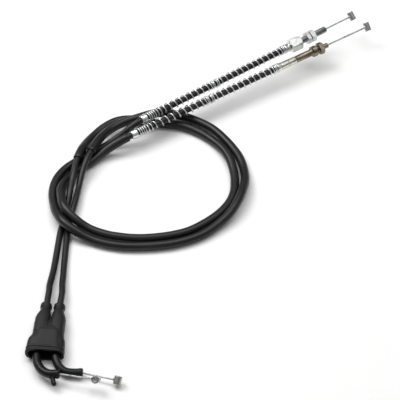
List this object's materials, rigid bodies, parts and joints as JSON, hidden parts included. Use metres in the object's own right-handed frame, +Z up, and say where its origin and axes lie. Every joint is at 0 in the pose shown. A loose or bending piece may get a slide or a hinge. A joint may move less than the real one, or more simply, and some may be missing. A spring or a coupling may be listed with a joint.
{
  "type": "motorcycle throttle cable set",
  "caption": "Push and pull throttle cables with a shared rubber boot, bent grip pipes, protective springs, adjusters and barrel nipples, laid in one overhand turn.",
  "frame": {"origin": "middle of the base of everything but the casings, sleeves and inner wires, on the surface the set lies on", "axes": "+Z up; +Y from the boot towards the carburettor ends, along the longest side of the laid-out set"},
  "size_m": [0.3005, 0.4435, 0.0268],
  "materials": {
    "vinyl": "satin black vinyl casing",
    "sleeve": "soft black slip-on sleeve with a low sheen",
    "rubber": "matte moulded rubber",
    "black_pipe": "black coated steel pipe",
    "zinc": "zinc-plated steel",
    "bright_zinc": "bright zinc plating",
    "yellow_zinc": "yellow-olive zinc plating",
    "steel_wire": "stranded steel wire",
    "nipple": "die-cast zinc nipple, dull grey"
  },
  "bodies": {
    "cable_set": {"pull_casing": "vinyl", "push_casing": "vinyl", "pull_sleeve": "sleeve", "push_sleeve": "sleeve", "pull_core_wire": "steel_wire", "push_core_wire": "steel_wire", "pull_spring_lower": "bright_zinc", "pull_spring_upper": "bright_zinc", "push_spring_lower": "bright_zinc", "push_spring_upper": "bright_zinc", "pull_spring_cup_lower": "bright_zinc", "pull_spring_cup_upper": "bright_zinc", "push_spring_cup_lower": "bright_zinc", "push_spring_cup_upper": "bright_zinc", "push_casing_ferrule": "bright_zinc", "push_threaded_ferrule": "yellow_zinc", "pull_crimp_cap": "zinc", "push_crimp_cap": "zinc", "pull_elbow": "black_pipe", "push_elbow": "black_pipe", "locating_peg": "black_pipe"},
    "boot": {"boot": "rubber"},
    "pull_adjuster": {"pull_adjuster": "bright_zinc"},
    "pull_nut_inner": {"pull_lock_nut_inner": "zinc"},
    "pull_nut_outer": {"pull_lock_nut_outer": "zinc"},
    "push_nut": {"push_lock_nut": "zinc"},
    "pull_carb_end": {"pull_carb_wire": "steel_wire", "pull_carb_nipple": "nipple"},
    "push_carb_end": {"push_carb_wire": "steel_wire", "push_carb_nipple": "nipple"},
    "pull_grip_end": {"pull_grip_wire": "steel_wire", "pull_grip_nipple": "nipple"},
    "push_grip_end": {"push_grip_wire": "steel_wire", "push_grip_nipple": "nipple"}
  },
  "joints": [
    {"name": "pull_wire_grip_slide", "type": "slide", "parent": "cable_set", "child": "pull_grip_end", "axis": [0.9593, -0.2814, 0.0237], "range_m": [-0.024, 0.0255], "deforming": ["pull_grip_wire"]},
    {"name": "pull_wire_carb_slide", "type": "slide", "parent": "cable_set", "child": "pull_carb_end", "axis": [0.8121, 0.5833, 0.0127], "range_m": [-0.0255, 0.024]},
    {"name": "push_wire_grip_slide", "type": "slide", "parent": "cable_set", "child": "push_grip_end", "axis": [0.9671, -0.2442, 0.0716], "range_m": [-0.0245, 0.0395], "deforming": ["push_grip_wire"]},
    {"name": "push_wire_carb_slide", "type": "slide", "parent": "cable_set", "child": "push_carb_end", "axis": [0.8372, 0.5465, 0.0219], "range_m": [-0.0395, 0.0245]},
    {"name": "adjuster_spin", "type": "hinge", "parent": "cable_set", "child": "pull_adjuster", "pos_m": [0.0784, 0.17825, 0.021], "axis": [0.8121, 0.5833, 0.0127], "continuous": true},
    {"name": "pull_nut_inner_slide", "type": "slide", "parent": "pull_adjuster", "child": "pull_nut_inner", "axis": [0.8121, 0.5833, 0.0127], "range_m": [-0.006, 0]},
    {"name": "pull_nut_outer_slide", "type": "slide", "parent": "pull_adjuster", "child": "pull_nut_outer", "axis": [0.8121, 0.5833, 0.0127], "range_m": [0, 0.01]},
    {"name": "push_nut_slide", "type": "slide", "parent": "cable_set", "child": "push_nut", "axis": [0.8372, 0.5465, 0.0219], "range_m": [-0.0022, 0.003]},
    {"name": "boot_slide", "type": "slide", "parent": "cable_set", "child": "boot", "axis": [0.088, 0.9961, 0], "range_m": [0, 0.012]}
  ],
  "couplings": [
    {"joint": "pull_wire_carb_slide", "follows": "pull_wire_grip_slide", "ratio": -1},
    {"joint": "push_wire_carb_slide", "follows": "push_wire_grip_slide", "ratio": -1}
  ]
}
